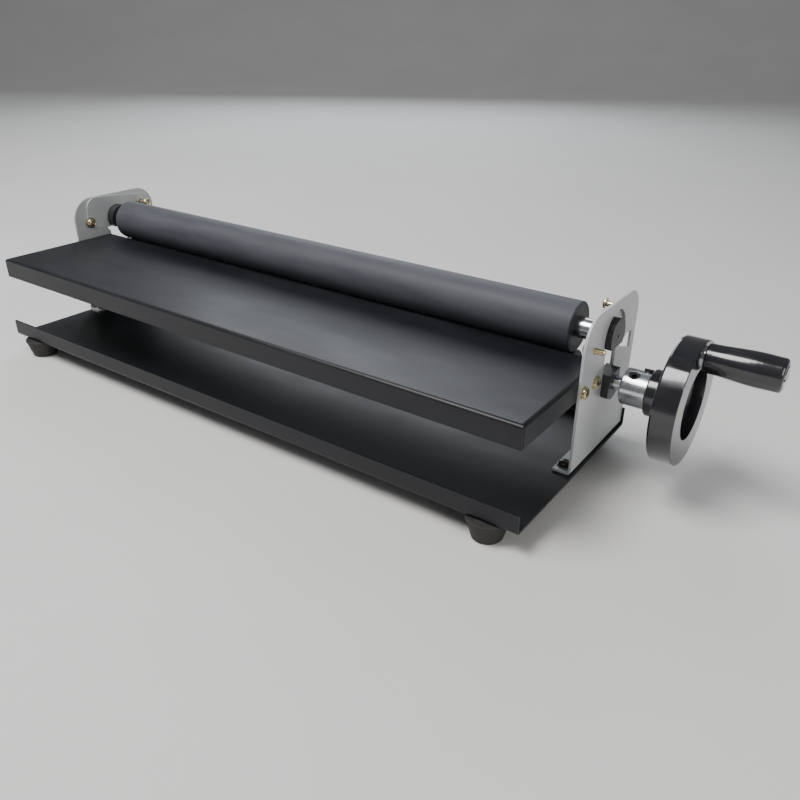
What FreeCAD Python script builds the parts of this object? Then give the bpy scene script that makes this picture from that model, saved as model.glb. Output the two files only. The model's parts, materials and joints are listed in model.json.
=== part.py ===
"""Hand-cranked two-roller table press: folded steel tray, fixed feed table, two side brackets,
a driven lower roller with a crank handwheel, and an upper roller carried on swinging plates.

Own frame while modelling: x along the rollers (crank side positive), y from the feeding side to
the rear, z up, with z = 0 on the bench and x = y = 0 at the middle of the tray. Every node is
moved along x when written, so that the stored origin is the middle of the whole press.
"""
import FreeCAD, Part
import math
import os

Vec = FreeCAD.Vector

# ---- driving dimensions, millimetres ----
# Tray that the press is built on
TRAY_LENGTH = 644.0
TRAY_DEPTH = 207.0
TRAY_SHEET = 2.0
LIP_HEIGHT = 17.4
TRAY_BEND = 1.5

# Rubber feet
FOOT_HEIGHT = 19.0
FOOT_TOP_RADIUS = 17.7
FOOT_BOTTOM_RADIUS = 12.9
FOOT_X = 291.5
FOOT_Y = 92.4
FOOT_SCREW_SEAT = 8.0
FOOT_RECESS_RADIUS = 7.0
FOOT_EDGE = 1.5
FOOT_RIM = 3.0
FOOT_RIM_STEP = 0.6
FOOT_SCREW_SHORT = 0.4

# Feed table
TABLE_HALF_WIDTH = 317.9
TABLE_FRONT = -100.7
TABLE_REAR = 32.5
TABLE_TOP = 108.3
TABLE_SHEET = 1.5
TABLE_FLANGE = 19.8
TABLE_BEND = 1.5
CORNER_SLIT = 0.9

# Side brackets
BRACKET_OUTSIDE = 320.2
BRACKET_SHEET = 2.2
BRACKET_FRONT = -9.2
BRACKET_TOP = 154.6
BRACKET_FRONT_CORNER = 25.0
BRACKET_REAR_CORNER = 22.0
BRACKET_HEEL_RADIUS = 2.0
BRACKET_FOOT_WIDTH = 16.0
BRACKET_BEND = 1.5
WINDOW_TOP = 117.0
WINDOW_REAR = 92.5
WINDOW_BOTTOM_REAR = 100.5
WINDOW_BOTTOM_FRONT = 113.0

# Roller axes and rollers
AXIS_Y = 47.0
UPPER_Z = 126.7
LOWER_Z = 86.2
UPPER_RADIUS = 21.5
LOWER_RADIUS = 18.7
ROLLER_HALF_LENGTH = 290.5
RUBBER_THICKNESS = 5.0
CORE_WALL = 2.5
END_PLUG_DEPTH = 12.0
END_PLUG_FLANGE = 3.0
UPPER_SHAFT_RADIUS = 9.0
LOWER_SHAFT_RADIUS = 8.0
JOURNAL_RADIUS = 6.0
SHAFT_BEVEL = 0.8
SHAFT_STUB = 2.0
SHAFT_SINK = 1.0
RUNNING_FIT = 0.05
CLEARANCE = 0.3
SEAT_FIT = 0.02

# Bushes: round bars with a flat, sunk in the plates
UPPER_BUSH_RADIUS = 14.6
UPPER_BUSH_FLAT = 9.0
UPPER_BUSH_INSIDE = 10.0
UPPER_BUSH_OUTSIDE = 4.5
UPPER_BUSH_FLOOR = 3.0
LOWER_BUSH_RADIUS = 15.0
LOWER_BUSH_TOP_FLAT = 9.5
LOWER_BUSH_SIDE_FLAT = 11.2
LOWER_BUSH_OUTSIDE = 6.3
LOWER_BUSH_COLLAR = 4.0
LOWER_BUSH_COLLAR_RADIUS = 16.0
LOWER_BUSH_COLLAR_FLAT = 14.0
BUSH_HOLE_Y = 52.0
BUSH_HOLE_Z = 124.8
BUSH_HOLE_RADIUS = 21.6

# Swinging carrier plates of the upper roller
CARRIER_SHEET = 2.0
CARRIER_LENGTH = 90.0
CARRIER_HEIGHT = 36.5
CARRIER_CORNER = 14.0
CARRIER_CENTRE_Y = 51.6
CARRIER_CENTRE_Z = 133.3
CARRIER_TILT = -5.2
CARRIER_SLOT_HALF = 11.4
PIVOT_Y = 9.0
PIVOT_Z = 126.2
POST_Y = 79.5
POST_Z = 139.6
PIVOT_SCREW_END = 9.0
POST_HEAD_X = 300.0

# Springs from the carrier posts down to the bracket feet
SPRING_RADIUS = 2.8
SPRING_WIRE = 0.7
SPRING_X = 312.4
SPRING_LENGTH = 72.0
SPRING_RIDGES = 51
HOOK_RADIUS = 4.0
HOOK_PLAY = 0.1
LUG_HALF_WIDTH = 3.5
LUG_TOP = 35.0
LUG_HOLE_Z = 30.0
LUG_HOLE_RADIUS = 1.8

# M5 screws, washers and nuts
SCREW_RADIUS = 2.5
SCREW_HOLE_RADIUS = 2.75
HEAD_RADIUS = 4.9
HEAD_HEIGHT = 3.4
CROSS_WIDTH = 0.9
CROSS_LENGTH = 5.2
CROSS_DEPTH = 2.0
WASHER_RADIUS = 6.0
WASHER_THICKNESS = 1.0
NUT_ACROSS_FLATS = 8.0
NUT_HEIGHT = 4.0
NUT_CHAMFER = 0.6
SCREW_OVERRUN = 1.5
THREAD_LENGTH = 5.0
THREAD_PITCH = 0.8
THREAD_DEPTH = 0.45

# Where the screws go
TABLE_SCREW_Y = (-2.7, 20.3)
TABLE_SCREW_Z = 94.6
BRACKET_FOOT_SCREW_X = 310.0
BRACKET_FOOT_SCREW_Y = (1.5, 66.0)

# Hub sleeve, handwheel and crank handle
SLEEVE_START = 336.0
SLEEVE_RADIUS = 15.4
SLEEVE_SPIGOT_RADIUS = 10.0
HUB_START = 357.5
HUB_RADIUS = 19.5
HUB_BEVEL = 1.2
HUB_PLAIN = 9.0
HUB_GROOVE = 1.5
WHEEL_START = 372.9
WHEEL_END = 392.3
WHEEL_RADIUS = 51.3
DISH_RADIUS = 30.0
WEB_START = 375.0
WEB_THICKNESS = 6.0
FACE_EDGE = 0.6
DISH_EDGE = 0.3
SET_SCREW_RADIUS = 4.0
SET_SCREW_MOUTH = 0.8
SET_SCREWS = ((344.4, 25.8, -1.0), (352.2, -22.0, 2.2))
HANDLE_THROW = 39.2
HANDLE_ANGLE = 4.7
SPINDLE_RADIUS = 4.0
GRIP_START = 394.0
GRIP_END = 451.0
GRIP_ROOT_RADIUS = 11.6
GRIP_SWELL_RADIUS = 13.5
GRIP_SWELL_AT = 0.7
GRIP_END_RADIUS = 13.2
GRIP_END_ROUND = 3.0
SPINDLE_HEAD_RADIUS = 8.9
SPINDLE_HEAD_HEIGHT = 4.0
SPINDLE_HEAD_PROUD = 0.8
HANDLE_WASHER_RADIUS = 8.6

# ---- places worked out from the driving dimensions ----
TRAY_TOP = FOOT_HEIGHT + TRAY_SHEET
BRACKET_REAR = TRAY_DEPTH / 2.0 - TRAY_SHEET - CLEARANCE
BRACKET_INSIDE = BRACKET_OUTSIDE - BRACKET_SHEET
CARRIER_OUTSIDE = BRACKET_INSIDE - CLEARANCE
CARRIER_INSIDE = CARRIER_OUTSIDE - CARRIER_SHEET
UPPER_CORE_RADIUS = UPPER_RADIUS - RUBBER_THICKNESS
LOWER_CORE_RADIUS = LOWER_RADIUS - RUBBER_THICKNESS
SPINDLE_END = GRIP_END + SPINDLE_HEAD_PROUD
SHAFT_LEFT_END = BRACKET_OUTSIDE + LOWER_BUSH_OUTSIDE + SHAFT_STUB
SHAFT_RIGHT_END = WEB_START + WEB_THICKNESS - SHAFT_SINK
OVERALL_LEFT = -(BRACKET_OUTSIDE + PIVOT_SCREW_END)
FRAME_SHIFT = -(OVERALL_LEFT + SPINDLE_END) / 2.0


# ---- general shapes ----
def block(x0, x1, y0, y1, z0, z1):
    """A box given by its two limits along each axis."""
    return Part.makeBox(x1 - x0, y1 - y0, z1 - z0, Vec(x0, y0, z0))


def bar(x0, x1, y, z, radius):
    """A round bar along x."""
    return Part.makeCylinder(radius, x1 - x0, Vec(x0, y, z), Vec(1, 0, 0))


def tube(x0, x1, y, z, outer, inner):
    """A round tube along x."""
    return bar(x0, x1, y, z, outer).cut(bar(x0 - 1, x1 + 1, y, z, inner))


def post(x, y, z0, z1, radius):
    """A round bar along z."""
    return Part.makeCylinder(radius, z1 - z0, Vec(x, y, z0), Vec(0, 0, 1))


def turned(profile, y, z):
    """A solid turned about the x direction through (y, z), from (x, radius) points."""
    points = [Vec(x, y, z + radius) for x, radius in profile]
    face = Part.Face(Part.makePolygon(points + [points[0]]))
    return face.revolve(Vec(0, y, z), Vec(1, 0, 0), 360)


def turned_up(profile):
    """A solid turned about z, from (radius, z) points."""
    points = [Vec(radius, 0, z) for radius, z in profile]
    face = Part.Face(Part.makePolygon(points + [points[0]]))
    return face.revolve(Vec(0, 0, 0), Vec(0, 0, 1), 360)


def rounded_plate(x0, x1, y0, y1, z0, z1, radii):
    """A plate in the yz plane with corner radii: front bottom, rear bottom, rear top, front top."""
    plate = block(x0, x1, y0, y1, z0, z1)
    corners = ((y0, z0), (y1, z0), (y1, z1), (y0, z1))
    for (y, z), radius in zip(corners, radii):
        if radius > 0:
            plate = plate.makeFillet(radius, edges_at(plate, y=y, z=z))
    return plate


def edges_at(shape, x=None, y=None, z=None):
    """Straight edges of a shape whose every point has the given coordinates."""
    found = []
    for edge in shape.Edges:
        ends = [vertex.Point for vertex in edge.Vertexes]
        fits = all(
            (x is None or abs(p.x - x) < 1e-6)
            and (y is None or abs(p.y - y) < 1e-6)
            and (z is None or abs(p.z - z) < 1e-6)
            for p in ends
        )
        if fits and len(ends) == 2:
            found.append(edge)
    return found


def prism(outline, x0, x1):
    """A straight-sided solid along x from (y, z) outline points."""
    points = [Vec(x0, y, z) for y, z in outline]
    face = Part.Face(Part.makePolygon(points + [points[0]]))
    return face.extrude(Vec(x1 - x0, 0, 0))


def mirrored(shape):
    """The same shape on the other side of the press."""
    return shape.mirror(Vec(0, 0, 0), Vec(1, 0, 0))


def pair(shape):
    """A shape and its mirror image, as separate solids."""
    return [shape, mirrored(shape)]


def group(shapes):
    """Separate solids that share one node."""
    return Part.makeCompound(shapes)


# ---- fasteners ----
def placed(shape, x, y, z, direction):
    """Turns a fastener made along +z so that its head points in the direction."""
    rotation = FreeCAD.Rotation(Vec(0, 0, 1), Vec(*direction))
    copy = shape.copy()
    copy.Placement = FreeCAD.Placement(Vec(x, y, z), rotation)
    return copy


def threaded_profile(length, threaded):
    """Shank outline below the head, with the last stretch threaded."""
    points = [(SCREW_RADIUS, 0.0)]
    z = -(length - threaded)
    while threaded > 0 and z > -length + THREAD_PITCH:
        points.append((SCREW_RADIUS, z))
        points.append((SCREW_RADIUS - THREAD_DEPTH, z - THREAD_PITCH / 2.0))
        z -= THREAD_PITCH
    points.append((SCREW_RADIUS - THREAD_DEPTH, z))
    points.append((SCREW_RADIUS - THREAD_DEPTH, -length))
    return points


def pan_screw(length, threaded=0.0):
    """Pan-head screw with a cross recess; z = 0 is under the head."""
    rim = 0.35 * HEAD_HEIGHT
    dome = []
    for degrees in range(0, 81, 20):
        angle = math.radians(degrees)
        dome.append((HEAD_RADIUS * math.cos(angle), rim + (HEAD_HEIGHT - rim) * math.sin(angle)))
    outline = [(0.0, -length)] + threaded_profile(length, threaded)[::-1]
    outline += [(HEAD_RADIUS, 0.0)] + dome + [(0.0, HEAD_HEIGHT)]
    screw = turned_up(outline)
    for long_x, long_y in ((CROSS_LENGTH, CROSS_WIDTH), (CROSS_WIDTH, CROSS_LENGTH)):
        slot = block(-long_x / 2, long_x / 2, -long_y / 2, long_y / 2,
                     HEAD_HEIGHT - CROSS_DEPTH, HEAD_HEIGHT + 1)
        screw = screw.cut(slot)
    return screw


def washer(hole=SCREW_RADIUS + 0.1):
    """Flat washer; z = 0 is its lower face."""
    disc = Part.makeCylinder(WASHER_RADIUS, WASHER_THICKNESS)
    return disc.cut(Part.makeCylinder(hole, WASHER_THICKNESS))


def hexagon(reach, height):
    """Six-sided bar along z; reach is the distance from its middle to a corner."""
    corners = []
    for degrees in range(0, 361, 60):
        angle = math.radians(degrees)
        corners.append(Vec(reach * math.cos(angle), reach * math.sin(angle), 0))
    return Part.Face(Part.makePolygon(corners)).extrude(Vec(0, 0, height))


def nut():
    """Hexagon nut; z = 0 is its lower face."""
    reach = NUT_ACROSS_FLATS / 2.0 / math.cos(math.radians(30))
    body = hexagon(reach, NUT_HEIGHT)
    small = reach - NUT_CHAMFER
    chamfer = turned_up([(0, 0), (small, 0), (reach, NUT_CHAMFER), (reach, NUT_HEIGHT - NUT_CHAMFER),
                         (small, NUT_HEIGHT), (0, NUT_HEIGHT)])
    return body.common(chamfer).cut(Part.makeCylinder(SCREW_RADIUS + SEAT_FIT, NUT_HEIGHT))


# ---- tray and feet ----
def foot_places():
    return [(x, y) for x in (-FOOT_X, FOOT_X) for y in (-FOOT_Y, FOOT_Y)]


def bracket_foot_places():
    return [(x, y) for x in (-BRACKET_FOOT_SCREW_X, BRACKET_FOOT_SCREW_X) for y in BRACKET_FOOT_SCREW_Y]


def base_tray():
    """Folded channel, open at both ends, with a lip along the front and the rear."""
    half = TRAY_LENGTH / 2.0
    edge = TRAY_DEPTH / 2.0
    outer = block(-half, half, -edge, edge, FOOT_HEIGHT, FOOT_HEIGHT + LIP_HEIGHT)
    outer = outer.makeFillet(TRAY_BEND + TRAY_SHEET, edges_at(outer, y=-edge, z=FOOT_HEIGHT)
                             + edges_at(outer, y=edge, z=FOOT_HEIGHT))
    inner_edge = edge - TRAY_SHEET
    inner = block(-half - 1, half + 1, -inner_edge, inner_edge, TRAY_TOP, FOOT_HEIGHT + LIP_HEIGHT + 1)
    inner = inner.makeFillet(TRAY_BEND, edges_at(inner, y=-inner_edge, z=TRAY_TOP)
                             + edges_at(inner, y=inner_edge, z=TRAY_TOP))
    tray = outer.cut(inner)
    for x, y in foot_places():
        tray = tray.cut(post(x, y, FOOT_HEIGHT - 1, TRAY_TOP + 1, SCREW_RADIUS + SEAT_FIT))
    for x, y in bracket_foot_places():
        tray = tray.cut(post(x, y, FOOT_HEIGHT - 1, TRAY_TOP + 1, SCREW_HOLE_RADIUS))
    return tray


def rubber_foot(x, y):
    """Moulded foot: a cone with rounded bottom edge, flat rim and a screw recess from below."""
    profile = [(0, 0)]
    for degrees in range(0, 91, 30):
        angle = math.radians(degrees)
        radius = FOOT_BOTTOM_RADIUS - FOOT_EDGE + FOOT_EDGE * math.sin(angle)
        profile.append((radius, FOOT_EDGE - FOOT_EDGE * math.cos(angle)))
    rim = FOOT_TOP_RADIUS - FOOT_RIM_STEP
    profile += [(rim, FOOT_HEIGHT - FOOT_RIM), (FOOT_TOP_RADIUS, FOOT_HEIGHT - FOOT_RIM + FOOT_RIM_STEP),
                (FOOT_TOP_RADIUS, FOOT_HEIGHT - FOOT_RIM_STEP), (rim, FOOT_HEIGHT), (0, FOOT_HEIGHT)]
    foot = turned_up(profile)
    foot = foot.cut(Part.makeCylinder(FOOT_RECESS_RADIUS, FOOT_SCREW_SEAT))
    foot = foot.cut(Part.makeCylinder(SCREW_HOLE_RADIUS, FOOT_HEIGHT))
    foot.translate(Vec(x, y, 0))
    return foot


def foot_washers():
    """Washers in the foot recesses, between rubber and screw head."""
    seat = FOOT_SCREW_SEAT - WASHER_THICKNESS
    return group([placed(washer(), x, y, seat, (0, 0, 1)) for x, y in foot_places()])


def foot_screws():
    """Screws from below, threaded into the tray and ending just under its upper face."""
    seat = FOOT_SCREW_SEAT - WASHER_THICKNESS
    length = TRAY_TOP - FOOT_SCREW_SHORT - seat
    return group([placed(pan_screw(length, THREAD_LENGTH), x, y, seat, (0, 0, -1)) for x, y in foot_places()])


# ---- feed table ----
def feed_table():
    """Flat sheet with the front and both sides folded down, open at the rear."""
    half = TABLE_HALF_WIDTH
    low = TABLE_TOP - TABLE_FLANGE
    outer = block(-half, half, TABLE_FRONT, TABLE_REAR, low, TABLE_TOP)
    top_edges = edges_at(outer, y=TABLE_FRONT, z=TABLE_TOP)
    top_edges += edges_at(outer, x=-half, z=TABLE_TOP) + edges_at(outer, x=half, z=TABLE_TOP)
    outer = outer.makeFillet(TABLE_BEND + TABLE_SHEET, top_edges)
    inner_half = half - TABLE_SHEET
    inner_front = TABLE_FRONT + TABLE_SHEET
    inner_top = TABLE_TOP - TABLE_SHEET
    inner = block(-inner_half, inner_half, inner_front, TABLE_REAR + 1, low - 1, inner_top)
    inner_edges = edges_at(inner, y=inner_front, z=inner_top)
    inner_edges += edges_at(inner, x=-inner_half, z=inner_top) + edges_at(inner, x=inner_half, z=inner_top)
    inner = inner.makeFillet(TABLE_BEND, inner_edges)
    table = outer.cut(inner)
    slit_top = TABLE_TOP - TABLE_BEND - TABLE_SHEET
    slit_front = inner_front + 0.2
    for side in (-1, 1):
        x0, x1 = sorted((side * (inner_half - 1), side * (half + 1)))
        table = table.cut(block(x0, x1, slit_front, slit_front + CORNER_SLIT, low - 1, slit_top))
    for y in TABLE_SCREW_Y:
        table = table.cut(bar(-half - 1, half + 1, y, TABLE_SCREW_Z, SCREW_HOLE_RADIUS))
    return table


def table_washers():
    """Washers on the outside of the brackets, under the table screws."""
    one_side = [placed(washer(), BRACKET_OUTSIDE, y, TABLE_SCREW_Z, (1, 0, 0)) for y in TABLE_SCREW_Y]
    return group([solid for shape in one_side for solid in pair(shape)])


def table_screws():
    seat = BRACKET_OUTSIDE + WASHER_THICKNESS
    length = seat - (TABLE_HALF_WIDTH - TABLE_SHEET) + NUT_HEIGHT + SCREW_OVERRUN
    screw = pan_screw(length, THREAD_LENGTH)
    one_side = [placed(screw, seat, y, TABLE_SCREW_Z, (1, 0, 0)) for y in TABLE_SCREW_Y]
    return group([solid for shape in one_side for solid in pair(shape)])


def table_nuts():
    seat = TABLE_HALF_WIDTH - TABLE_SHEET
    one_side = [placed(nut(), seat, y, TABLE_SCREW_Z, (-1, 0, 0)) for y in TABLE_SCREW_Y]
    return group([solid for shape in one_side for solid in pair(shape)])


# ---- side brackets ----
def lower_bush_profile(x0, x1, grow=0.0):
    """Round bar of the lower bush with its three flats, as used for bush and slot."""
    low = LOWER_Z - LOWER_BUSH_RADIUS - grow - 1
    body = bar(x0, x1, AXIS_Y, LOWER_Z, LOWER_BUSH_RADIUS + grow)
    side = LOWER_BUSH_SIDE_FLAT + grow
    keep = block(x0, x1, AXIS_Y - side, AXIS_Y + side, low, LOWER_Z + LOWER_BUSH_TOP_FLAT)
    return body.common(keep)


def side_bracket():
    """Upright plate with its foot folded inward, for the crank side."""
    floor = TRAY_TOP
    inside = BRACKET_OUTSIDE - BRACKET_FOOT_WIDTH
    outer = block(inside, BRACKET_OUTSIDE, BRACKET_FRONT, BRACKET_REAR, floor, BRACKET_TOP)
    outer = outer.makeFillet(BRACKET_BEND + BRACKET_SHEET, edges_at(outer, x=BRACKET_OUTSIDE, z=floor))
    inner = block(inside - 1, BRACKET_INSIDE, BRACKET_FRONT - 1, BRACKET_REAR + 1,
                  floor + BRACKET_SHEET, BRACKET_TOP + 1)
    inner = inner.makeFillet(BRACKET_BEND, edges_at(inner, x=BRACKET_INSIDE, z=floor + BRACKET_SHEET))
    bracket = outer.cut(inner)
    outline = rounded_plate(inside - 1, BRACKET_OUTSIDE + 1, BRACKET_FRONT, BRACKET_REAR, floor, BRACKET_TOP,
                            (0, BRACKET_HEEL_RADIUS, BRACKET_REAR_CORNER, BRACKET_FRONT_CORNER))
    bracket = bracket.common(outline)
    x0 = BRACKET_INSIDE - 1
    x1 = BRACKET_OUTSIDE + 1
    sill_front = AXIS_Y + LOWER_BUSH_SIDE_FLAT + RUNNING_FIT
    sill = [(sill_front, WINDOW_BOTTOM_FRONT), (WINDOW_REAR, WINDOW_BOTTOM_REAR),
            (WINDOW_REAR, LOWER_Z), (sill_front, LOWER_Z)]
    hole = bar(x0, x1, BUSH_HOLE_Y, BUSH_HOLE_Z, BUSH_HOLE_RADIUS).cut(prism(sill, x0 - 1, x1 + 1))
    bracket = bracket.cut(hole)
    bracket = bracket.cut(block(x0, x1, AXIS_Y - LOWER_BUSH_SIDE_FLAT - RUNNING_FIT,
                                AXIS_Y + LOWER_BUSH_SIDE_FLAT + RUNNING_FIT, LOWER_Z, BUSH_HOLE_Z))
    bracket = bracket.cut(lower_bush_profile(x0, x1, RUNNING_FIT))
    window = [
        (BUSH_HOLE_Y, WINDOW_TOP), (WINDOW_REAR, WINDOW_TOP), (WINDOW_REAR, WINDOW_BOTTOM_REAR),
        (sill_front, WINDOW_BOTTOM_FRONT),
    ]
    bracket = bracket.cut(prism(window, x0, x1))
    for y in TABLE_SCREW_Y:
        bracket = bracket.cut(bar(x0, x1, y, TABLE_SCREW_Z, SCREW_HOLE_RADIUS))
    bracket = bracket.cut(bar(x0, x1, PIVOT_Y, PIVOT_Z, SCREW_RADIUS + SEAT_FIT))
    for y in BRACKET_FOOT_SCREW_Y:
        hole = post(BRACKET_FOOT_SCREW_X, y, floor - 1, floor + BRACKET_SHEET + 1, SCREW_HOLE_RADIUS)
        bracket = bracket.cut(hole)
    return bracket.fuse(spring_lug()).removeSplitter()


def spring_lug():
    """Ear standing up from the bracket foot, with the hole that the spring hooks into."""
    half = BRACKET_SHEET / 2.0
    lug = block(SPRING_X - LUG_HALF_WIDTH, SPRING_X + LUG_HALF_WIDTH, POST_Y - half, POST_Y + half,
                TRAY_TOP, LUG_TOP)
    start = Vec(SPRING_X, POST_Y - BRACKET_SHEET, LUG_HOLE_Z)
    hole = Part.makeCylinder(LUG_HOLE_RADIUS, 2 * BRACKET_SHEET, start, Vec(0, 1, 0))
    return lug.cut(hole)


def bracket_foot_washers():
    seat = TRAY_TOP + BRACKET_SHEET
    return group([placed(washer(), x, y, seat, (0, 0, 1)) for x, y in bracket_foot_places()])


def bracket_foot_screws():
    seat = TRAY_TOP + BRACKET_SHEET + WASHER_THICKNESS
    length = seat - FOOT_HEIGHT + NUT_HEIGHT + SCREW_OVERRUN
    screw = pan_screw(length, THREAD_LENGTH)
    return group([placed(screw, x, y, seat, (0, 0, 1)) for x, y in bracket_foot_places()])


def bracket_foot_nuts():
    return group([placed(nut(), x, y, FOOT_HEIGHT, (0, 0, -1)) for x, y in bracket_foot_places()])


# ---- bushes ----
def lower_bush():
    """Bush of the driven roller: seated in the bracket slot, with a collar inside."""
    bush = lower_bush_profile(BRACKET_INSIDE - 1, BRACKET_OUTSIDE + LOWER_BUSH_OUTSIDE)
    start = BRACKET_INSIDE - LOWER_BUSH_COLLAR
    collar = bar(start, BRACKET_INSIDE, AXIS_Y, LOWER_Z, LOWER_BUSH_COLLAR_RADIUS)
    low = LOWER_Z - LOWER_BUSH_COLLAR_RADIUS - 1
    keep = block(start - 1, BRACKET_INSIDE + 1, AXIS_Y - LOWER_BUSH_COLLAR_FLAT,
                 AXIS_Y + LOWER_BUSH_COLLAR_FLAT, low, LOWER_Z + LOWER_BUSH_TOP_FLAT)
    whole = bush.fuse(collar.common(keep)).removeSplitter()
    end = BRACKET_OUTSIDE + LOWER_BUSH_OUTSIDE
    bore = bar(start - 1, end + 1, AXIS_Y, LOWER_Z, JOURNAL_RADIUS + RUNNING_FIT)
    return whole.cut(bore)


def upper_bush():
    """Closed bush of the upper roller, pressed through the carrier plate."""
    start = CARRIER_INSIDE - UPPER_BUSH_INSIDE
    end = BRACKET_OUTSIDE + UPPER_BUSH_OUTSIDE
    bush = bar(start, end, AXIS_Y, UPPER_Z, UPPER_BUSH_RADIUS)
    flat = UPPER_Z - UPPER_BUSH_FLAT
    bush = bush.cut(block(start - 1, end + 1, AXIS_Y - 30, AXIS_Y + 30, flat - 30, flat))
    bush = bush.cut(bar(start - 1, end - UPPER_BUSH_FLOOR, AXIS_Y, UPPER_Z, JOURNAL_RADIUS + RUNNING_FIT))
    dimple = Part.makeSphere(2.4, Vec(end + 1.6, AXIS_Y, UPPER_Z))
    return bush.cut(dimple)


# ---- carrier plates ----
def tilted(shape):
    """Leans a carrier plate about its own centre to its resting angle."""
    copy = shape.copy()
    copy.rotate(Vec(0, CARRIER_CENTRE_Y, CARRIER_CENTRE_Z), Vec(1, 0, 0), CARRIER_TILT)
    return copy


def carrier_plate():
    """Rounded plate on the inside of the bracket that swings about its front screw."""
    y0 = CARRIER_CENTRE_Y - CARRIER_LENGTH / 2.0
    y1 = CARRIER_CENTRE_Y + CARRIER_LENGTH / 2.0
    z0 = CARRIER_CENTRE_Z - CARRIER_HEIGHT / 2.0
    z1 = CARRIER_CENTRE_Z + CARRIER_HEIGHT / 2.0
    plate = rounded_plate(CARRIER_INSIDE, CARRIER_OUTSIDE, y0, y1, z0, z1, (CARRIER_CORNER,) * 4)
    plate = tilted(plate)
    x0 = CARRIER_INSIDE - 1
    x1 = CARRIER_OUTSIDE + 1
    plate = plate.cut(bar(x0, x1, AXIS_Y, UPPER_Z, UPPER_BUSH_RADIUS + SEAT_FIT))
    plate = plate.cut(block(x0, x1, AXIS_Y - CARRIER_SLOT_HALF, AXIS_Y + CARRIER_SLOT_HALF, z0 - 20, UPPER_Z))
    plate = plate.cut(bar(x0, x1, PIVOT_Y, PIVOT_Z, SCREW_RADIUS + RUNNING_FIT))
    return plate.cut(bar(x0, x1, POST_Y, POST_Z, SCREW_RADIUS + SEAT_FIT))


def carrier_pivot_washers():
    one = placed(washer(), CARRIER_INSIDE - CLEARANCE, PIVOT_Y, PIVOT_Z, (-1, 0, 0))
    return group(pair(one))


def carrier_pivot_screws():
    """Pivot screws: head inside, tapped through the bracket, end standing out of it."""
    seat = CARRIER_INSIDE - CLEARANCE - WASHER_THICKNESS
    length = BRACKET_OUTSIDE + PIVOT_SCREW_END - seat
    one = placed(pan_screw(length, PIVOT_SCREW_END), seat, PIVOT_Y, PIVOT_Z, (-1, 0, 0))
    return group(pair(one))


def spring_posts():
    """Long screws threaded into the rear of the carrier plates, where the springs hook on."""
    length = CARRIER_OUTSIDE - POST_HEAD_X
    return group(pair(placed(pan_screw(length), POST_HEAD_X, POST_Y, POST_Z, (-1, 0, 0))))


def tension_spring():
    """Close-wound spring drawn as a ribbed bar, with a ring hook at each end."""
    top_hook = POST_Z + SCREW_RADIUS + HOOK_PLAY - (HOOK_RADIUS - SPRING_WIRE)
    low_hook = LUG_HOLE_Z + (LUG_HOLE_RADIUS - SPRING_WIRE - HOOK_PLAY) + HOOK_RADIUS
    body_top = top_hook - HOOK_RADIUS
    body_low = body_top - SPRING_LENGTH
    pitch = SPRING_LENGTH / SPRING_RIDGES
    valley = SPRING_RADIUS - SPRING_WIRE / 2
    outline = [(0, body_low), (SPRING_WIRE, body_low)]
    for ridge in range(SPRING_RIDGES):
        outline.append((valley, body_low + ridge * pitch + pitch / 4))
        outline.append((SPRING_RADIUS, body_low + (ridge + 0.5) * pitch))
    outline += [(valley, body_top - pitch / 4), (SPRING_WIRE, body_top), (0, body_top)]
    body = turned_up(outline)
    tail_low = low_hook + HOOK_RADIUS
    tail = Part.makeCylinder(SPRING_WIRE, body_low - tail_low + 1, Vec(0, 0, tail_low))
    pieces = [tail]
    for height in (top_hook, low_hook):
        pieces.append(Part.makeTorus(HOOK_RADIUS, SPRING_WIRE, Vec(0, 0, height), Vec(1, 0, 0)))
    spring = body.fuse(pieces)
    spring.translate(Vec(SPRING_X, POST_Y, 0))
    return spring


# ---- rollers ----
def roller_core(z, radius):
    """Steel tube under the rubber, closed at both ends by the flanges of the end plugs."""
    half = ROLLER_HALF_LENGTH - END_PLUG_FLANGE
    return tube(-half, half, AXIS_Y, z, radius, radius - CORE_WALL)


def roller_end_plugs(z, core_radius, shaft_radius):
    """Plugs that centre the shaft in the core; the flange of each covers the core's end."""
    inner = ROLLER_HALF_LENGTH - END_PLUG_DEPTH
    flange = ROLLER_HALF_LENGTH - END_PLUG_FLANGE
    plug = bar(inner, ROLLER_HALF_LENGTH, AXIS_Y, z, core_radius - CORE_WALL)
    plug = plug.fuse(bar(flange, ROLLER_HALF_LENGTH, AXIS_Y, z, core_radius)).removeSplitter()
    return group(pair(plug.cut(bar(inner - 1, ROLLER_HALF_LENGTH + 1, AXIS_Y, z, shaft_radius))))


def roller_cover(z, radius, core_radius):
    """Rubber sleeve with its outer edges slightly rounded."""
    sleeve = tube(-ROLLER_HALF_LENGTH, ROLLER_HALF_LENGTH, AXIS_Y, z, radius, core_radius)
    circles = [edge for edge in sleeve.Edges if len(edge.Vertexes) == 1]
    rims = [edge for edge in circles if abs(edge.Curve.Radius - radius) < 1e-6]
    return sleeve.makeFillet(0.8, rims)


def stepped_shaft(z, left_end, right_end, shoulder, thick):
    """Turned bar, thick between the shoulders, with bevelled journals to its ends."""
    small = JOURNAL_RADIUS - SHAFT_BEVEL
    return turned([
        (left_end, 0), (left_end, small), (left_end + SHAFT_BEVEL, JOURNAL_RADIUS),
        (-shoulder, JOURNAL_RADIUS), (-shoulder, thick), (shoulder, thick), (shoulder, JOURNAL_RADIUS),
        (right_end - SHAFT_BEVEL, JOURNAL_RADIUS), (right_end, small), (right_end, 0),
    ], AXIS_Y, z)


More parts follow.
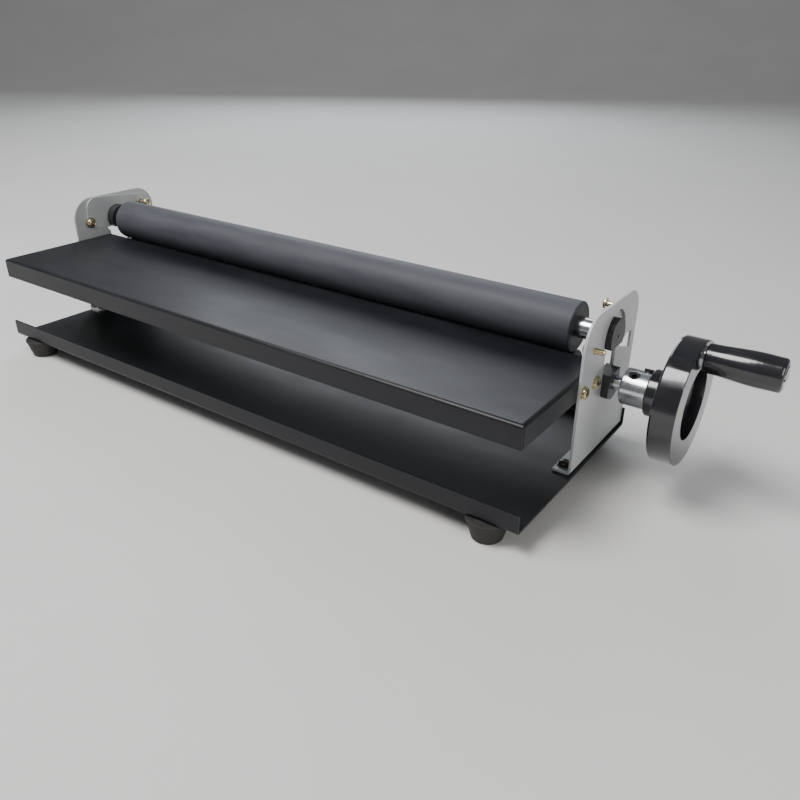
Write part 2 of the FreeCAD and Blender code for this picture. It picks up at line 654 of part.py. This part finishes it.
def upper_roller_shaft():
    """Bright bar whose thinner ends turn inside the closed bushes."""
    end = BRACKET_OUTSIDE + UPPER_BUSH_OUTSIDE - UPPER_BUSH_FLOOR - CLEARANCE
    shoulder = CARRIER_INSIDE - UPPER_BUSH_INSIDE - CLEARANCE
    return stepped_shaft(UPPER_Z, -end, end, shoulder, UPPER_SHAFT_RADIUS)


def drive_roller_shaft():
    """Thick between the bushes, with a long end to the handwheel."""
    shoulder = BRACKET_INSIDE - LOWER_BUSH_COLLAR - CLEARANCE
    return stepped_shaft(LOWER_Z, -SHAFT_LEFT_END, SHAFT_RIGHT_END, shoulder, LOWER_SHAFT_RADIUS)


# ---- hub sleeve, handwheel and crank handle ----
def radial_bar(x, angle, start, end, radius):
    """A round bar pointing away from the lower axis; the angle leans it towards the front."""
    lean = math.radians(angle)
    direction = Vec(0, -math.sin(lean), math.cos(lean))
    origin = Vec(x, AXIS_Y, LOWER_Z) + direction * start
    return Part.makeCylinder(radius, end - start, origin, direction)


def hub_sleeve():
    """Steel sleeve clamped on the shaft; its spigot is pressed into the handwheel."""
    end = WEB_START + WEB_THICKNESS
    bevel = 1.0
    sleeve = turned([
        (SLEEVE_START, 0), (SLEEVE_START, SLEEVE_RADIUS - bevel), (SLEEVE_START + bevel, SLEEVE_RADIUS),
        (HUB_START, SLEEVE_RADIUS), (HUB_START, SLEEVE_SPIGOT_RADIUS), (end, SLEEVE_SPIGOT_RADIUS), (end, 0),
    ], AXIS_Y, LOWER_Z)
    sleeve = sleeve.cut(bar(SLEEVE_START - 1, end + 1, AXIS_Y, LOWER_Z, JOURNAL_RADIUS))
    for x, angle, _ in SET_SCREWS:
        sleeve = sleeve.cut(radial_bar(x, angle, 0, SLEEVE_RADIUS + 2, SET_SCREW_RADIUS))
        mouth = Part.makeCone(SET_SCREW_RADIUS, SET_SCREW_RADIUS + 2, 2)
        mouth.translate(Vec(0, 0, SLEEVE_RADIUS - SET_SCREW_MOUTH))
        mouth.rotate(Vec(0, 0, 0), Vec(1, 0, 0), angle)
        mouth.translate(Vec(x, AXIS_Y, LOWER_Z))
        sleeve = sleeve.cut(mouth)
    return sleeve


def hexagon_socket(x, angle, top, depth):
    """Hexagonal hole for a key, pointing in from the outer end of a set screw."""
    socket = hexagon(SET_SCREW_RADIUS * 0.6, depth + 1)
    socket.translate(Vec(0, 0, top - depth))
    socket.rotate(Vec(0, 0, 0), Vec(1, 0, 0), angle)
    socket.translate(Vec(x, AXIS_Y, LOWER_Z))
    return socket


def sleeve_set_screws():
    """Two socket set screws of the sleeve, one sunk and one standing slightly proud."""
    screws = []
    for x, angle, proud in SET_SCREWS:
        top = SLEEVE_RADIUS + proud
        screw = radial_bar(x, angle, JOURNAL_RADIUS, top, SET_SCREW_RADIUS - SEAT_FIT)
        screws.append(screw.cut(hexagon_socket(x, angle, top, 4.0)))
    return group(screws)


def handle_axis():
    """Where the crank handle's axis meets the wheel, as (y, z)."""
    lean = math.radians(HANDLE_ANGLE)
    return AXIS_Y + HANDLE_THROW * math.sin(lean), LOWER_Z + HANDLE_THROW * math.cos(lean)


def handwheel():
    """Solid dished handwheel with a hub on its back."""
    web_front = WEB_START + WEB_THICKNESS
    groove = HUB_START + HUB_PLAIN
    flare = groove + HUB_GROOVE
    edge = 2.0
    wheel = turned([
        (HUB_START, 0), (HUB_START, HUB_RADIUS - HUB_BEVEL), (HUB_START + HUB_BEVEL, HUB_RADIUS),
        (groove, HUB_RADIUS), (groove, HUB_RADIUS - 1.0), (flare, HUB_RADIUS - 1.0),
        (flare, HUB_RADIUS + 0.6), (WEB_START - 1.5, HUB_RADIUS + 1.6), (WEB_START, HUB_RADIUS + 4.0),
        (WEB_START, WHEEL_RADIUS - 15.0), (WHEEL_START, WHEEL_RADIUS - 12.0),
        (WHEEL_START, WHEEL_RADIUS - edge), (WHEEL_START + edge * 0.3, WHEEL_RADIUS - edge * 0.3),
        (WHEEL_START + edge, WHEEL_RADIUS), (WHEEL_END - FACE_EDGE, WHEEL_RADIUS),
        (WHEEL_END, WHEEL_RADIUS - FACE_EDGE), (WHEEL_END, DISH_RADIUS + DISH_EDGE),
        (WHEEL_END - DISH_EDGE, DISH_RADIUS),
        (web_front + 2.0, DISH_RADIUS - 1.0), (web_front, DISH_RADIUS - 4.0), (web_front, 0),
    ], AXIS_Y, LOWER_Z)
    wheel = wheel.cut(bar(HUB_START - 1, web_front + 1, AXIS_Y, LOWER_Z, SLEEVE_SPIGOT_RADIUS))
    y, z = handle_axis()
    return wheel.cut(bar(WHEEL_START - 1, WHEEL_END + 1, y, z, SPINDLE_RADIUS))


def crank_spindle():
    """Fixed bolt that the grip turns on, with a slotted head at its outer end."""
    y, z = handle_axis()
    head = SPINDLE_END - SPINDLE_HEAD_HEIGHT
    bolt = turned([
        (WHEEL_START + 1, 0), (WHEEL_START + 1, SPINDLE_RADIUS), (head, SPINDLE_RADIUS),
        (head, SPINDLE_HEAD_RADIUS), (SPINDLE_END - 0.6, SPINDLE_HEAD_RADIUS),
        (SPINDLE_END, SPINDLE_HEAD_RADIUS - 0.8), (SPINDLE_END, 0),
    ], y, z)
    slot = block(SPINDLE_END - 1.4, SPINDLE_END + 1, y - 10, y + 10, z - 0.9, z + 0.9)
    return bolt.cut(slot)


def crank_washer():
    y, z = handle_axis()
    return tube(WHEEL_END, GRIP_START - CLEARANCE, y, z, HANDLE_WASHER_RADIUS, SPINDLE_RADIUS)


def ease(t):
    """Smooth step from 0 to 1."""
    return t * t * (3 - 2 * t)


def grip_radius(t):
    """Radius along the grip: swells from the root, then draws in slightly to the outer end."""
    if t < GRIP_SWELL_AT:
        return GRIP_ROOT_RADIUS + (GRIP_SWELL_RADIUS - GRIP_ROOT_RADIUS) * ease(t / GRIP_SWELL_AT)
    drawn_in = ease((t - GRIP_SWELL_AT) / (1 - GRIP_SWELL_AT))
    return GRIP_SWELL_RADIUS + (GRIP_END_RADIUS - GRIP_SWELL_RADIUS) * drawn_in


def crank_grip():
    """Swelling turning grip with a rounded outer edge and a recess for the bolt head."""
    y, z = handle_axis()
    profile = [(GRIP_START, 0), (GRIP_START, GRIP_ROOT_RADIUS - 1.0)]
    swell_start = GRIP_START + 1.2
    swell_end = GRIP_END - GRIP_END_ROUND
    steps = 12
    for step in range(steps + 1):
        t = step / steps
        profile.append((swell_start + t * (swell_end - swell_start), grip_radius(t)))
    for degrees in range(22, 91, 22):
        angle = math.radians(degrees)
        profile.append((swell_end + GRIP_END_ROUND * math.sin(angle),
                        GRIP_END_RADIUS - GRIP_END_ROUND * (1 - math.cos(angle))))
    profile += [(GRIP_END, GRIP_END_RADIUS - GRIP_END_ROUND), (GRIP_END, 0)]
    grip = turned(profile, y, z)
    grip = grip.cut(bar(GRIP_START - 1, GRIP_END + 1, y, z, SPINDLE_RADIUS + RUNNING_FIT))
    recess = SPINDLE_END - SPINDLE_HEAD_HEIGHT - CLEARANCE
    return grip.cut(bar(recess, GRIP_END + 1, y, z, SPINDLE_HEAD_RADIUS + RUNNING_FIT))


# ---- all nodes ----
def all_nodes():
    nodes = {
        "base_tray": base_tray(),
        "feed_table": feed_table(),
        "foot_washers": foot_washers(),
        "foot_screws": foot_screws(),
        "table_screws": table_screws(),
        "table_washers": table_washers(),
        "table_nuts": table_nuts(),
        "bracket_foot_screws": bracket_foot_screws(),
        "bracket_foot_washers": bracket_foot_washers(),
        "bracket_foot_nuts": bracket_foot_nuts(),
        "carrier_pivot_screws": carrier_pivot_screws(),
        "carrier_pivot_washers": carrier_pivot_washers(),
        "spring_posts": spring_posts(),
        "upper_roller_shaft": upper_roller_shaft(),
        "upper_roller_core": roller_core(UPPER_Z, UPPER_CORE_RADIUS),
        "upper_roller_end_plugs": roller_end_plugs(UPPER_Z, UPPER_CORE_RADIUS, UPPER_SHAFT_RADIUS),
        "upper_roller_cover": roller_cover(UPPER_Z, UPPER_RADIUS, UPPER_CORE_RADIUS),
        "drive_roller_shaft": drive_roller_shaft(),
        "drive_roller_core": roller_core(LOWER_Z, LOWER_CORE_RADIUS),
        "drive_roller_end_plugs": roller_end_plugs(LOWER_Z, LOWER_CORE_RADIUS, LOWER_SHAFT_RADIUS),
        "drive_roller_cover": roller_cover(LOWER_Z, LOWER_RADIUS, LOWER_CORE_RADIUS),
        "hub_sleeve": hub_sleeve(),
        "sleeve_set_screws": sleeve_set_screws(),
        "handwheel": handwheel(),
        "crank_spindle": crank_spindle(),
        "crank_washer": crank_washer(),
        "crank_grip": crank_grip(),
    }
    corner_names = ("foot_front_left", "foot_rear_left", "foot_front_right", "foot_rear_right")
    for name, (x, y) in zip(corner_names, foot_places()):
        nodes[name] = rubber_foot(x, y)
    handed = {
        "side_bracket": side_bracket(),
        "lower_bush": lower_bush(),
        "upper_bush": upper_bush(),
        "carrier_plate": carrier_plate(),
        "tension_spring": tension_spring(),
    }
    for name, shape in handed.items():
        nodes[name + "_right"] = shape
        nodes[name + "_left"] = mirrored(shape)
    return nodes


os.makedirs("parts", exist_ok=True)
for node_name, node_shape in all_nodes().items():
    node_shape.translate(Vec(FRAME_SHIFT, 0, 0))
    node_shape.exportStep("parts/" + node_name + ".step")
    solids = node_shape.Solids
    valid = node_shape.isValid() and len(solids) > 0
    print(node_name, len(solids), "solids", "valid" if valid else "NOT VALID", round(node_shape.Volume, 1))
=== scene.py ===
import json
import math

import bpy
from mathutils import Matrix, Vector


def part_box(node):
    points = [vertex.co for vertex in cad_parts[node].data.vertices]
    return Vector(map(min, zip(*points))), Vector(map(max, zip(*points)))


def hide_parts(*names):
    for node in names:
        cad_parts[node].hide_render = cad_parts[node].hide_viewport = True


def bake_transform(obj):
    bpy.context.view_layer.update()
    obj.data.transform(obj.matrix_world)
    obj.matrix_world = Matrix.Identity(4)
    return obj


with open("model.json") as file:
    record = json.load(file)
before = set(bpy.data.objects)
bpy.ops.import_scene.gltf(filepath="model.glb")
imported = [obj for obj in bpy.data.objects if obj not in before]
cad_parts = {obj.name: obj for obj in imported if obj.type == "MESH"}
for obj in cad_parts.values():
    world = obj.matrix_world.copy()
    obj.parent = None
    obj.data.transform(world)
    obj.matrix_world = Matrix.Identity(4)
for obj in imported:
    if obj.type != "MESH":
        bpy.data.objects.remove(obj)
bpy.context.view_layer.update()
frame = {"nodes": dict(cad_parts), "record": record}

MM = 0.001

# ---- camera, in degrees and metres ----
CAMERA_AZIMUTH = 34.5
CAMERA_ELEVATION = 27.4
CAMERA_ROLL = 0.8
CAMERA_AT = Vector((0.4507, -0.5186, 0.3619))
CAMERA_LENS_MM = 34.5
CAMERA_SHIFT = (-0.0138, 0.0014)

# ---- small sizes of the visual pieces, in metres ----
SHEET_EDGE = 0.3 * MM
WIRE_RADIUS = 0.7 * MM
HOOK_RADIUS = 4.0 * MM
COIL_RADIUS = 2.1 * MM
COIL_LENGTH = 72.0 * MM
COIL_TURNS = 51
POINTS_PER_TURN = 18
HOOK_SWEEP = 340.0
HOOK_STEPS = 28
WELD_DISTANCE = 0.01 * MM

# ---- paper backdrop, in metres ----
FLOOR_FRONT = 6.0
FLOOR_BACK = 3.0
CURVE_RADIUS = 2.5
BACKDROP_HEIGHT = 6.0
BACKDROP_HALF_WIDTH = 9.0
CURVE_STEPS = 16

# ---- sockets of the colour Mix node, whose names repeat for each data type ----
MIX_FACTOR = 0
MIX_COLOR_A = 6
MIX_COLOR_B = 7
MIX_COLOR_RESULT = 2


# ---- material building blocks ----
def material(name, metallic=0.0, ior=1.5, coat=0.0, coat_roughness=0.1):
    """A material whose even values sit on the shader's own sockets."""
    made = bpy.data.materials.new(name)
    made.use_nodes = True
    shader = made.node_tree.nodes["Principled BSDF"]
    shader.inputs["Metallic"].default_value = metallic
    shader.inputs["IOR"].default_value = ior
    shader.inputs["Coat Weight"].default_value = coat
    shader.inputs["Coat Roughness"].default_value = coat_roughness
    return made


def place(made, stretch=(1.0, 1.0, 1.0)):
    """Object position, stretched so that a pattern can run along one direction."""
    tree = made.node_tree
    source = tree.nodes.new("ShaderNodeTexCoord")
    mapping = tree.nodes.new("ShaderNodeMapping")
    mapping.inputs["Scale"].default_value = stretch
    tree.links.new(source.outputs["Object"], mapping.inputs["Vector"])
    return mapping.outputs["Vector"]


def axis_distance(made, centre):
    """Distance from the line along x through a centre, for rings cut by a lathe."""
    tree = made.node_tree
    source = tree.nodes.new("ShaderNodeTexCoord")
    offset = tree.nodes.new("ShaderNodeVectorMath")
    offset.operation = "SUBTRACT"
    offset.inputs[1].default_value = centre
    flat = tree.nodes.new("ShaderNodeVectorMath")
    flat.operation = "MULTIPLY"
    flat.inputs[1].default_value = (0.0, 1.0, 1.0)
    length = tree.nodes.new("ShaderNodeVectorMath")
    length.operation = "LENGTH"
    tree.links.new(source.outputs["Object"], offset.inputs[0])
    tree.links.new(offset.outputs["Vector"], flat.inputs[0])
    tree.links.new(flat.outputs["Vector"], length.inputs[0])
    return length.outputs["Value"]


def noise(made, vector, scale, detail=4.0, roughness=0.55):
    """Cloudy noise between 0 and 1."""
    node = made.node_tree.nodes.new("ShaderNodeTexNoise")
    node.inputs["Scale"].default_value = scale
    node.inputs["Detail"].default_value = detail
    node.inputs["Roughness"].default_value = roughness
    made.node_tree.links.new(vector, node.inputs["Vector"])
    return node.outputs["Fac"]


def rings(made, distance, scale):
    """Noise that changes only with the distance from an axis."""
    node = made.node_tree.nodes.new("ShaderNodeTexNoise")
    node.noise_dimensions = "1D"
    node.inputs["Scale"].default_value = scale
    node.inputs["Detail"].default_value = 3.0
    made.node_tree.links.new(distance, node.inputs["W"])
    return node.outputs["Fac"]


def specks(made, vector, scale, size):
    """Small round specks: 1 inside a speck, 0 outside."""
    cells = made.node_tree.nodes.new("ShaderNodeTexVoronoi")
    cells.inputs["Scale"].default_value = scale
    made.node_tree.links.new(vector, cells.inputs["Vector"])
    return remap(made, cells.outputs["Distance"], 0.0, size, 1.0, 0.0)


def remap(made, value, low, high, to_low, to_high):
    """A value moved from one range to another."""
    node = made.node_tree.nodes.new("ShaderNodeMapRange")
    node.inputs["From Min"].default_value = low
    node.inputs["From Max"].default_value = high
    node.inputs["To Min"].default_value = to_low
    node.inputs["To Max"].default_value = to_high
    made.node_tree.links.new(value, node.inputs["Value"])
    return node.outputs["Result"]


def color_between(made, value, dark, light, low=0.3, high=0.7):
    """Base colour that wanders between two colours."""
    tree = made.node_tree
    ramp = tree.nodes.new("ShaderNodeValToRGB")
    ramp.color_ramp.elements[0].position = low
    ramp.color_ramp.elements[0].color = (*dark, 1.0)
    ramp.color_ramp.elements[1].position = high
    ramp.color_ramp.elements[1].color = (*light, 1.0)
    tree.links.new(value, ramp.inputs["Fac"])
    tree.links.new(ramp.outputs["Color"], tree.nodes["Principled BSDF"].inputs["Base Color"])
    return ramp.outputs["Color"]


def add_specks(made, color, mask, speck_color, strength):
    """Lays specks of another colour over the base colour."""
    tree = made.node_tree
    mix = tree.nodes.new("ShaderNodeMix")
    mix.data_type = "RGBA"
    mix.inputs[MIX_COLOR_B].default_value = (*speck_color, 1.0)
    tree.links.new(color, mix.inputs[MIX_COLOR_A])
    tree.links.new(remap(made, mask, 0.0, 1.0, 0.0, strength), mix.inputs[MIX_FACTOR])
    tree.links.new(mix.outputs[MIX_COLOR_RESULT], tree.nodes["Principled BSDF"].inputs["Base Color"])


def roughness_between(made, value, smooth, rough):
    """Roughness that follows a noise value."""
    tree = made.node_tree
    socket = tree.nodes["Principled BSDF"].inputs["Roughness"]
    tree.links.new(remap(made, value, 0.3, 0.7, smooth, rough), socket)


def relief(made, height, depth, below=None):
    """Bump of a given depth in metres, on top of any coarser bump."""
    tree = made.node_tree
    bump = tree.nodes.new("ShaderNodeBump")
    bump.inputs["Strength"].default_value = 1.0
    bump.inputs["Distance"].default_value = depth
    tree.links.new(height, bump.inputs["Height"])
    if below is not None:
        tree.links.new(below, bump.inputs["Normal"])
    tree.links.new(bump.outputs["Normal"], tree.nodes["Principled BSDF"].inputs["Normal"])
    return bump.outputs["Normal"]


# ---- the materials of the press ----
def powder_coat():
    """Satin black powder coat: orange peel, faint smears and dust."""
    made = material("black_powder_coat", ior=1.4)
    smear = noise(made, place(made, (2.0, 6.0, 6.0)), 5.0, 5.0)
    color = color_between(made, smear, (0.008, 0.0085, 0.011), (0.014, 0.015, 0.019))
    add_specks(made, color, specks(made, place(made), 260.0, 0.06), (0.20, 0.20, 0.20), 0.5)
    roughness_between(made, smear, 0.36, 0.48)
    peel = relief(made, noise(made, place(made), 900.0, 2.0), 0.035 * MM)
    relief(made, noise(made, place(made), 3200.0, 2.0), 0.012 * MM, peel)
    return made


def grey_enamel():
    """Light grey enamel on sheet steel, with slight unevenness."""
    made = material("grey_paint", coat=0.25, coat_roughness=0.2)
    cloud = noise(made, place(made), 22.0, 5.0)
    color = color_between(made, cloud, (0.50, 0.515, 0.53), (0.58, 0.60, 0.61))
    add_specks(made, color, specks(made, place(made), 330.0, 0.05), (0.12, 0.11, 0.10), 0.45)
    roughness_between(made, cloud, 0.30, 0.42)
    relief(made, noise(made, place(made), 420.0, 3.0), 0.02 * MM)
    return made


def roller_rubber():
    """Ground rubber: fine rings from the grinding wheel and paper dust."""
    made = material("roller_rubber", ior=1.45)
    ground = noise(made, place(made, (60.0, 1.0, 1.0)), 45.0, 5.0)
    dust = noise(made, place(made, (1.0, 5.0, 5.0)), 16.0, 6.0)
    color = color_between(made, dust, (0.050, 0.054, 0.066), (0.078, 0.083, 0.098))
    add_specks(made, color, specks(made, place(made), 420.0, 0.07), (0.30, 0.30, 0.30), 0.35)
    roughness_between(made, dust, 0.50, 0.66)
    grain = relief(made, ground, 0.02 * MM)
    relief(made, noise(made, place(made), 4200.0, 2.0), 0.012 * MM, grain)
    return made


def foot_rubber():
    """Matte moulded rubber with a fine grain."""
    made = material("foot_rubber", ior=1.45)
    cloud = noise(made, place(made), 90.0, 5.0)
    color_between(made, cloud, (0.018, 0.018, 0.018), (0.036, 0.035, 0.033))
    roughness_between(made, cloud, 0.60, 0.80)
    relief(made, noise(made, place(made), 1800.0, 3.0), 0.04 * MM)
    return made


def turned_metal(name, dark, light, smooth, rough, depth_mm):
    """Metal turned about x: marks run round the bar and vary along it."""
    made = material(name, metallic=1.0)
    marks = noise(made, place(made, (70.0, 1.0, 1.0)), 60.0, 4.0)
    stain = noise(made, place(made), 60.0, 4.0)
    color_between(made, stain, dark, light)
    roughness_between(made, marks, smooth, rough)
    relief(made, marks, depth_mm * MM)
    return made


def plated_steel(name, dark, light, smooth, rough):
    """Small plated hardware with a cloudy passivated skin."""
    made = material(name, metallic=1.0)
    cloud = noise(made, place(made), 520.0, 5.0)
    color_between(made, cloud, dark, light)
    roughness_between(made, cloud, smooth, rough)
    relief(made, noise(made, place(made), 2600.0, 3.0), 0.015 * MM)
    return made


def turned_nylon(centre):
    """Black nylon with lathe rings on its end faces."""
    made = material("black_nylon", ior=1.5)
    marks = rings(made, axis_distance(made, centre), 2600.0)
    cloud = noise(made, place(made), 120.0, 4.0)
    color_between(made, cloud, (0.016, 0.016, 0.018), (0.036, 0.036, 0.037))
    roughness_between(made, marks, 0.34, 0.52)
    relief(made, marks, 0.03 * MM)
    return made


def gloss_black():
    """Polished thermoset with faint handling marks."""
    made = material("gloss_black", ior=1.55, coat=0.6, coat_roughness=0.06)
    smear = noise(made, place(made, (1.0, 3.0, 3.0)), 30.0, 5.0)
    color_between(made, smear, (0.008, 0.008, 0.011), (0.016, 0.016, 0.020))
    roughness_between(made, smear, 0.10, 0.24)
    relief(made, noise(made, place(made), 160.0, 2.0), 0.02 * MM)
    return made


def black_steel(name, smooth, rough):
    """Blackened steel, slightly cloudy."""
    made = material(name, ior=1.6)
    cloud = noise(made, place(made), 480.0, 4.0)
    color_between(made, cloud, (0.012, 0.012, 0.014), (0.034, 0.034, 0.036))
    roughness_between(made, cloud, smooth, rough)
    relief(made, noise(made, place(made), 3000.0, 2.0), 0.012 * MM)
    return made


def middle(node):
    """Centre of a node's box."""
    low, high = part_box(node)
    return (low + high) / 2.0


def all_materials():
    bush = middle("upper_bush_right")
    return {
        "black_powder_coat": powder_coat(),
        "grey_paint": grey_enamel(),
        "roller_rubber": roller_rubber(),
        "foot_rubber": foot_rubber(),
        "core_steel": turned_metal(
            "core_steel", dark=(0.40, 0.40, 0.41), light=(0.50, 0.50, 0.51),
            smooth=0.3, rough=0.45, depth_mm=0.01),
        "bright_steel": turned_metal(
            "bright_steel", dark=(0.66, 0.68, 0.72), light=(0.78, 0.79, 0.82),
            smooth=0.12, rough=0.24, depth_mm=0.004),
        "zinc_steel": turned_metal(
            "zinc_steel", dark=(0.58, 0.61, 0.64), light=(0.74, 0.76, 0.79),
            smooth=0.16, rough=0.30, depth_mm=0.008),
        "spring_steel": turned_metal(
            "spring_steel", dark=(0.36, 0.36, 0.37), light=(0.52, 0.52, 0.53),
            smooth=0.22, rough=0.36, depth_mm=0.003),
        "yellow_zinc": plated_steel(
            "yellow_zinc", dark=(0.58, 0.50, 0.28), light=(0.80, 0.73, 0.50), smooth=0.18, rough=0.34),
        # dark_zinc is a darker copy of the yellow zinc, for zinc screws that sit in shade: painted shade
        "dark_zinc": plated_steel(
            "dark_zinc", dark=(0.10, 0.095, 0.08), light=(0.24, 0.23, 0.19), smooth=0.28, rough=0.44),
        "black_nylon": turned_nylon(bush),
        "gloss_black": gloss_black(),
        "black_plug": black_steel("black_plug", smooth=0.40, rough=0.55),
        "black_oxide": black_steel("black_oxide", smooth=0.28, rough=0.42),
    }


def paint_nodes(looks):
    """Gives every CAD node the finish that the record names for it."""
    for part in frame["record"]["subparts"]:
        piece = frame["nodes"][part["node"]]
        for holder in piece.material_slots:
            holder.link = "OBJECT"
            holder.material = looks[part["material_slot"]]


# ---- edges of the folded sheet parts ----
def round_sheet_edges(piece):
    """Breaks the sharp cut edges so that they catch the light."""
    weld = piece.modifiers.new("weld", "WELD")
    weld.merge_threshold = WELD_DISTANCE
    merge = piece.modifiers.new("merge_flats", "DECIMATE")
    merge.decimate_type = "DISSOLVE"
    merge.angle_limit = math.radians(0.5)
    edge = piece.modifiers.new("edge", "BEVEL")
    edge.width = SHEET_EDGE
    edge.segments = 2
    edge.limit_method = "ANGLE"
    edge.angle_limit = math.radians(40.0)
    edge.harden_normals = True


# ---- springs as wound wire ----
def ring_points(centre_y, centre_z, start, sweep):
    """Points round a hook, which stands in the yz plane."""
    points = []
    for step in range(HOOK_STEPS + 1):
        angle = math.radians(start + sweep * step / HOOK_STEPS)
        y = centre_y + HOOK_RADIUS * math.sin(angle)
        z = centre_z + HOOK_RADIUS * math.cos(angle)
        points.append(Vector((0.0, y, z)))
    return points


def spring_path(low_hook, top_hook):
    """Wire from the lower hook, up through the close-wound coil, to the upper hook."""
    coil_top = top_hook - HOOK_RADIUS
    coil_low = coil_top - COIL_LENGTH
    path = ring_points(0.0, low_hook, HOOK_SWEEP, -HOOK_SWEEP)
    path.append(Vector((0.0, 0.0, (low_hook + HOOK_RADIUS + coil_low) / 2.0)))
    steps = COIL_TURNS * POINTS_PER_TURN
    for step in range(steps + 1):
        t = step / steps
        angle = 2.0 * math.pi * COIL_TURNS * t
        z = coil_low + WIRE_RADIUS + t * (COIL_LENGTH - 2.0 * WIRE_RADIUS)
        path.append(Vector((COIL_RADIUS * math.sin(angle), -COIL_RADIUS * math.cos(angle), z)))
    path += ring_points(0.0, top_hook, 180.0, HOOK_SWEEP)
    return path, coil_low, coil_top


def wound_spring(side):
    """A real helix in place of the ribbed CAD spring; its hooks sit at the two ends of the CAD spring."""
    node = "tension_spring_" + side
    low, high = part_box(node)
    centre = (low + high) / 2.0
    reach = HOOK_RADIUS + WIRE_RADIUS
    path, coil_low, coil_top = spring_path(low.z + reach, high.z - reach)
    curve = bpy.data.curves.new(node + "_wire", "CURVE")
    curve.dimensions = "3D"
    curve.bevel_depth = WIRE_RADIUS
    curve.bevel_resolution = 3
    curve.use_fill_caps = True
    spline = curve.splines.new("POLY")
    spline.points.add(len(path) - 1)
    for point, position in zip(spline.points, path):
        point.co = (centre.x + position.x, centre.y + position.y, position.z, 1.0)
    source = bpy.data.objects.new(node + "_source", curve)
    bpy.context.scene.collection.objects.link(source)
    mesh = bpy.data.meshes.new_from_object(source)
    bpy.data.objects.remove(source)
    piece = bpy.data.objects.new("wound_spring_" + side, mesh)
    bpy.context.scene.collection.objects.link(piece)
    mesh.shade_smooth()
    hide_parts(node)
    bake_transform(piece)
    return piece


# ---- floor, lights and camera ----
def backdrop():
    """Pale paper: flat under the press, then curving up far behind it, so that no edge shows."""
    profile = [(-FLOOR_FRONT, 0.0)]
    for step in range(CURVE_STEPS + 1):
        angle = math.pi / 2.0 * step / CURVE_STEPS
        profile.append((FLOOR_BACK + CURVE_RADIUS * math.sin(angle), CURVE_RADIUS * (1.0 - math.cos(angle))))
    profile.append((FLOOR_BACK + CURVE_RADIUS, BACKDROP_HEIGHT))
    azimuth = math.radians(CAMERA_AZIMUTH)
    away = Vector((-math.sin(azimuth), math.cos(azimuth), 0.0))
    across = Vector((math.cos(azimuth), math.sin(azimuth), 0.0))
    points = []
    for distance, height in profile:
        for side in (-BACKDROP_HALF_WIDTH, BACKDROP_HALF_WIDTH):
            points.append(away * distance + across * side + Vector((0.0, 0.0, height)))
    faces = [(2 * i, 2 * i + 1, 2 * i + 3, 2 * i + 2) for i in range(len(profile) - 1)]
    mesh = bpy.data.meshes.new("paper")
    mesh.from_pydata(points, [], faces)
    mesh.shade_smooth()
    sheet = bpy.data.objects.new("paper", mesh)
    bpy.context.scene.collection.objects.link(sheet)
    made = material("floor_paper")
    color_between(made, noise(made, place(made), 3.0, 4.0), (0.70, 0.70, 0.69), (0.74, 0.74, 0.73))
    made.node_tree.nodes["Principled BSDF"].inputs["Roughness"].default_value = 0.9
    mesh.materials.append(made)


def softbox(name, position, target, size, watts, color):
    """A square studio lamp that faces a target."""
    lamp = bpy.data.lights.new(name, "AREA")
    lamp.shape = "SQUARE"
    lamp.size = size
    lamp.energy = watts
    lamp.color = color
    holder = bpy.data.objects.new(name, lamp)
    bpy.context.scene.collection.objects.link(holder)
    holder.location = position
    holder.rotation_euler = (Vector(target) - Vector(position)).to_track_quat("-Z", "Y").to_euler()


def lights():
    """Lamp overhead, a cooler one behind, a weak one at the crank side, and a soft fill."""
    centre = middle("feed_table")
    softbox("key", (-0.5, -0.8, 1.9), centre, 1.0, 50.0, (1.0, 0.98, 0.97))
    softbox("sheen", (-1.3, 1.8, 1.3), centre, 1.6, 24.0, (0.90, 0.94, 1.0))
    softbox("right", (1.8, -0.5, 1.0), centre, 1.0, 12.0, (1.0, 0.97, 0.93))
    world = bpy.data.worlds.new("studio")
    world.use_nodes = True
    world.node_tree.nodes["Background"].inputs["Color"].default_value = (0.86, 0.88, 0.90, 1.0)
    world.node_tree.nodes["Background"].inputs["Strength"].default_value = 0.22
    bpy.context.scene.world = world


def camera():
    """Looks at the press from the front right, from above."""
    azimuth = math.radians(CAMERA_AZIMUTH)
    elevation = math.radians(CAMERA_ELEVATION)
    roll = math.radians(CAMERA_ROLL)
    forward = Vector((
        -math.sin(azimuth) * math.cos(elevation),
        math.cos(azimuth) * math.cos(elevation),
        -math.sin(elevation),
    ))
    right = Vector((math.cos(azimuth), math.sin(azimuth), 0.0))
    up = right.cross(forward)
    across = right * math.cos(roll) + up * math.sin(roll)
    upward = up * math.cos(roll) - right * math.sin(roll)
    data = bpy.data.cameras.new("camera")
    data.lens = CAMERA_LENS_MM
    data.sensor_width = 36.0
    data.shift_x, data.shift_y = CAMERA_SHIFT
    data.clip_start = 0.01
    holder = bpy.data.objects.new("camera", data)
    bpy.context.scene.collection.objects.link(holder)
    basis = Matrix((across, upward, -forward)).transposed().to_4x4()
    holder.matrix_world = Matrix.Translation(CAMERA_AT) @ basis
    bpy.context.scene.camera = holder


camera()
lights()
backdrop()
looks = all_materials()
paint_nodes(looks)
for sheet in ("base_tray", "feed_table", "side_bracket_left", "side_bracket_right",
              "carrier_plate_left", "carrier_plate_right"):
    round_sheet_edges(frame["nodes"][sheet])
for side in ("left", "right"):
    wound_spring(side).data.materials.append(looks["spring_steel"])
